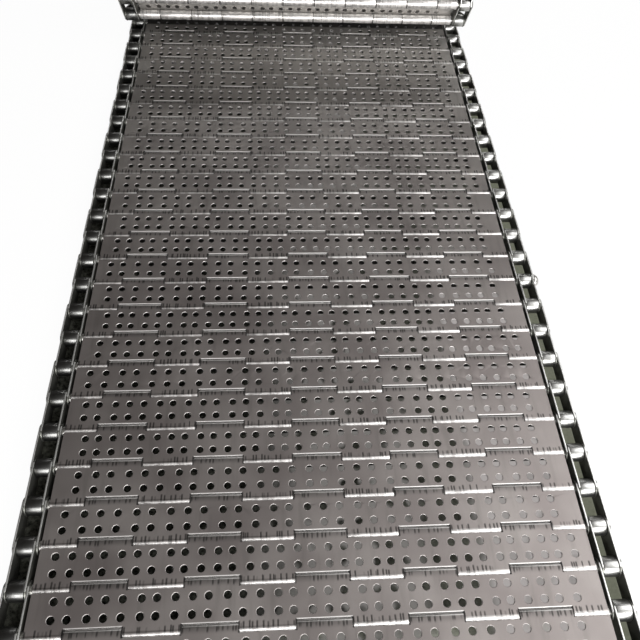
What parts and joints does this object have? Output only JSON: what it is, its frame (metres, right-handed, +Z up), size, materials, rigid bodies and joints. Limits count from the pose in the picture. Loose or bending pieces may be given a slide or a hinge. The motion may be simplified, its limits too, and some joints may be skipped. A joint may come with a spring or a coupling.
{
  "type": "hinged perforated plate conveyor belt",
  "caption": "Length of steel plate conveyor: perforated hinged slats on cross rods with a roller chain down each side, one end rolled back over the run.",
  "frame": {"origin": "centre of the belt's width on the axis of the open joining bore at the near, flat end", "axes": "+X across the belt along the hinge pins, +Y along the flat run to the rolled end, +Z up, out of the carrying side of the flat run"},
  "size_m": [0.7717, 1.4165, 0.1962],
  "materials": {
    "slat": "dull, worn",
    "link_plate": "dull, oily",
    "bush": "turned",
    "roller": "bright, turned",
    "rod": "bright drawn bar",
    "row": "dull, worn",
    "cap": "bright"
  },
  "bodies": {
    "row_1": {"slat_1": "slat", "inner_plates_1": "link_plate", "bushes_1": "bush"},
    "row_2": {"slat_2": "slat", "outer_plates_2": "link_plate", "cross_rods_2": "rod"},
    "row_3": {"slat_3": "slat", "inner_plates_3": "link_plate", "bushes_3": "bush"},
    "row_4": {"slat_4": "slat", "outer_plates_4": "link_plate", "cross_rods_4": "rod"},
    "row_5": {"slat_5": "slat", "inner_plates_5": "link_plate", "bushes_5": "bush"},
    "row_6": {"slat_6": "slat", "outer_plates_6": "link_plate", "cross_rods_6": "rod"},
    "left_roller_0": {"left_roller_0": "roller"},
    "right_roller_0": {"right_roller_0": "roller"},
    "left_roller_1": {"left_roller_1": "roller"},
    "right_roller_1": {"right_roller_1": "roller"},
    "left_roller_2": {"left_roller_2": "roller"},
    "right_roller_2": {"right_roller_2": "roller"},
    "left_roller_3": {"left_roller_3": "roller"},
    "right_roller_3": {"right_roller_3": "roller"},
    "left_roller_4": {"left_roller_4": "roller"},
    "right_roller_4": {"right_roller_4": "roller"},
    "left_roller_5": {"left_roller_5": "roller"},
    "right_roller_5": {"right_roller_5": "roller"},
    "row_7": {"inner_row_7": "row"},
    "row_8": {"outer_row_8": "row"},
    "row_9": {"inner_row_9": "row"},
    "row_10": {"outer_row_10": "row"},
    "row_11": {"inner_row_11": "row"},
    "row_12": {"outer_row_12": "row", "cap_nut": "cap"},
    "row_13": {"inner_row_13": "row"},
    "row_14": {"outer_row_14": "row"},
    "row_15": {"inner_row_15": "row"},
    "row_16": {"outer_row_16": "row"},
    "row_17": {"inner_row_17": "row"},
    "row_18": {"outer_row_18": "row"},
    "row_19": {"inner_row_19": "row"},
    "row_20": {"outer_row_20": "row"},
    "row_21": {"inner_row_21": "row"},
    "row_22": {"outer_row_22": "row"},
    "row_23": {"inner_row_23": "row"},
    "row_24": {"outer_row_24": "row"},
    "row_25": {"inner_row_25": "row"},
    "row_26": {"outer_row_26": "row"},
    "row_27": {"inner_row_27": "row"},
    "row_28": {"outer_row_28": "row"},
    "row_29": {"inner_row_29": "row"},
    "row_30": {"outer_row_30": "row"},
    "row_31": {"inner_row_31": "row"},
    "row_32": {"outer_row_32": "row"},
    "row_33": {"inner_row_33": "row"},
    "row_34": {"outer_row_34": "row"},
    "row_35": {"inner_row_35": "row"}
  },
  "joints": [
    {"name": "hinge_1", "type": "hinge", "parent": "row_2", "child": "row_1", "pos_m": [0, 0.0508, 0], "axis": [-1, 0, 0], "range_deg": [-60, 50]},
    {"name": "hinge_2", "type": "hinge", "parent": "row_3", "child": "row_2", "pos_m": [0, 0.1016, 0], "axis": [1, 0, 0], "range_deg": [-50, 60]},
    {"name": "hinge_3", "type": "hinge", "parent": "row_4", "child": "row_3", "pos_m": [0, 0.1524, 0], "axis": [-1, 0, 0], "range_deg": [-60, 50]},
    {"name": "hinge_4", "type": "hinge", "parent": "row_5", "child": "row_4", "pos_m": [0, 0.2032, 0], "axis": [1, 0, 0], "range_deg": [-50, 60]},
    {"name": "hinge_5", "type": "hinge", "parent": "row_6", "child": "row_5", "pos_m": [0, 0.254, 0], "axis": [-1, 0, 0], "range_deg": [-60, 50]},
    {"name": "hinge_6", "type": "hinge", "parent": "row_7", "child": "row_6", "pos_m": [0, 0.3048, 0], "axis": [1, 0, 0], "range_deg": [-50, 60]},
    {"name": "hinge_7", "type": "hinge", "parent": "row_8", "child": "row_7", "pos_m": [0, 0.3556, 0], "axis": [-1, 0, 0], "range_deg": [-60, 50]},
    {"name": "hinge_8", "type": "hinge", "parent": "row_9", "child": "row_8", "pos_m": [0, 0.4064, 0], "axis": [1, 0, 0], "range_deg": [-50, 60]},
    {"name": "hinge_9", "type": "hinge", "parent": "row_10", "child": "row_9", "pos_m": [0, 0.4572, 0], "axis": [-1, 0, 0], "range_deg": [-60, 50]},
    {"name": "hinge_10", "type": "hinge", "parent": "row_11", "child": "row_10", "pos_m": [0, 0.508, 0], "axis": [1, 0, 0], "range_deg": [-50, 60]},
    {"name": "hinge_11", "type": "hinge", "parent": "row_12", "child": "row_11", "pos_m": [0, 0.5588, 0], "axis": [-1, 0, 0], "range_deg": [-60, 50]},
    {"name": "hinge_12", "type": "hinge", "parent": "row_13", "child": "row_12", "pos_m": [0, 0.6096, 0], "axis": [1, 0, 0], "range_deg": [-50, 60]},
    {"name": "hinge_13", "type": "hinge", "parent": "row_14", "child": "row_13", "pos_m": [0, 0.6604, 0], "axis": [-1, 0, 0], "range_deg": [-60, 50]},
    {"name": "hinge_14", "type": "hinge", "parent": "row_15", "child": "row_14", "pos_m": [0, 0.7112, 0], "axis": [1, 0, 0], "range_deg": [-50, 60]},
    {"name": "hinge_15", "type": "hinge", "parent": "row_15", "child": "row_16", "pos_m": [0, 0.762, 0], "axis": [1, 0, 0], "range_deg": [-60, 50]},
    {"name": "hinge_16", "type": "hinge", "parent": "row_16", "child": "row_17", "pos_m": [0, 0.8128, 0], "axis": [-1, 0, 0], "range_deg": [-50, 60]},
    {"name": "hinge_17", "type": "hinge", "parent": "row_17", "child": "row_18", "pos_m": [0, 0.8636, 0], "axis": [1, 0, 0], "range_deg": [-60, 50]},
    {"name": "hinge_18", "type": "hinge", "parent": "row_18", "child": "row_19", "pos_m": [0, 0.9144, 0], "axis": [-1, 0, 0], "range_deg": [-50, 60]},
    {"name": "hinge_19", "type": "hinge", "parent": "row_19", "child": "row_20", "pos_m": [0, 0.9652, 0], "axis": [1, 0, 0], "range_deg": [-60, 50]},
    {"name": "hinge_20", "type": "hinge", "parent": "row_20", "child": "row_21", "pos_m": [0, 1.016, 0], "axis": [-1, 0, 0], "range_deg": [-50, 60]},
    {"name": "hinge_21", "type": "hinge", "parent": "row_21", "child": "row_22", "pos_m": [0, 1.0668, 0], "axis": [1, 0, 0], "range_deg": [-60, 50]},
    {"name": "hinge_22", "type": "hinge", "parent": "row_22", "child": "row_23", "pos_m": [0, 1.1176, 0], "axis": [-1, 0, 0], "range_deg": [-50, 60]},
    {"name": "hinge_23", "type": "hinge", "parent": "row_23", "child": "row_24", "pos_m": [0, 1.1684, 0], "axis": [1, 0, 0], "range_deg": [-60, 50]},
    {"name": "hinge_24", "type": "hinge", "parent": "row_24", "child": "row_25", "pos_m": [0, 1.2192, 0], "axis": [-1, 0, 0], "range_deg": [-50, 60]},
    {"name": "hinge_25", "type": "hinge", "parent": "row_25", "child": "row_26", "pos_m": [0, 1.27, 0], "axis": [1, 0, 0], "range_deg": [-60, 50]},
    {"name": "hinge_26", "type": "hinge", "parent": "row_26", "child": "row_27", "pos_m": [0, 1.3208, 0], "axis": [-1, 0, 0], "range_deg": [-20, 85]},
    {"name": "hinge_27", "type": "hinge", "parent": "row_27", "child": "row_28", "pos_m": [0, 1.36523, 0.02463], "axis": [1, 0, 0], "range_deg": [-87, 7]},
    {"name": "hinge_28", "type": "hinge", "parent": "row_28", "child": "row_29", "pos_m": [0, 1.39048, 0.06871], "axis": [-1, 0, 0], "range_deg": [-4, 90]},
    {"name": "hinge_29", "type": "hinge", "parent": "row_29", "child": "row_30", "pos_m": [0, 1.38729, 0.11941], "axis": [1, 0, 0], "range_deg": [-90, 3]},
    {"name": "hinge_30", "type": "hinge", "parent": "row_30", "child": "row_31", "pos_m": [0, 1.35518, 0.15878], "axis": [-1, 0, 0], "range_deg": [-4, 90]},
    {"name": "hinge_31", "type": "hinge", "parent": "row_31", "child": "row_32", "pos_m": [0, 1.30568, 0.1702], "axis": [1, 0, 0], "range_deg": [-90, 8]},
    {"name": "hinge_32", "type": "hinge", "parent": "row_32", "child": "row_33", "pos_m": [0, 1.26042, 0.14714], "axis": [-1, 0, 0], "range_deg": [-7.8, 10]},
    {"name": "hinge_33", "type": "hinge", "parent": "row_33", "child": "row_34", "pos_m": [0, 1.24238, 0.09965], "axis": [1, 0, 0], "range_deg": [-6, 5.6]},
    {"name": "hinge_34", "type": "hinge", "parent": "row_34", "child": "row_35", "pos_m": [0, 1.26272, 0.0531], "axis": [-1, 0, 0], "range_deg": [-3.4, 8]},
    {"name": "left_roller_spin_0", "type": "hinge", "parent": "row_1", "child": "left_roller_0", "pos_m": [0, 0, 0], "axis": [1, 0, 0], "continuous": true},
    {"name": "right_roller_spin_0", "type": "hinge", "parent": "row_1", "child": "right_roller_0", "pos_m": [0, 0, 0], "axis": [1, 0, 0], "continuous": true},
    {"name": "left_roller_spin_1", "type": "hinge", "parent": "row_1", "child": "left_roller_1", "pos_m": [0, 0.0508, 0], "axis": [1, 0, 0], "continuous": true},
    {"name": "right_roller_spin_1", "type": "hinge", "parent": "row_1", "child": "right_roller_1", "pos_m": [0, 0.0508, 0], "axis": [1, 0, 0], "continuous": true},
    {"name": "left_roller_spin_2", "type": "hinge", "parent": "row_3", "child": "left_roller_2", "pos_m": [0, 0.1016, 0], "axis": [1, 0, 0], "continuous": true},
    {"name": "right_roller_spin_2", "type": "hinge", "parent": "row_3", "child": "right_roller_2", "pos_m": [0, 0.1016, 0], "axis": [1, 0, 0], "continuous": true},
    {"name": "left_roller_spin_3", "type": "hinge", "parent": "row_3", "child": "left_roller_3", "pos_m": [0, 0.1524, 0], "axis": [1, 0, 0], "continuous": true},
    {"name": "right_roller_spin_3", "type": "hinge", "parent": "row_3", "child": "right_roller_3", "pos_m": [0, 0.1524, 0], "axis": [1, 0, 0], "continuous": true},
    {"name": "left_roller_spin_4", "type": "hinge", "parent": "row_5", "child": "left_roller_4", "pos_m": [0, 0.2032, 0], "axis": [1, 0, 0], "continuous": true},
    {"name": "right_roller_spin_4", "type": "hinge", "parent": "row_5", "child": "right_roller_4", "pos_m": [0, 0.2032, 0], "axis": [1, 0, 0], "continuous": true},
    {"name": "left_roller_spin_5", "type": "hinge", "parent": "row_5", "child": "left_roller_5", "pos_m": [0, 0.254, 0], "axis": [1, 0, 0], "continuous": true},
    {"name": "right_roller_spin_5", "type": "hinge", "parent": "row_5", "child": "right_roller_5", "pos_m": [0, 0.254, 0], "axis": [1, 0, 0], "continuous": true}
  ]
}
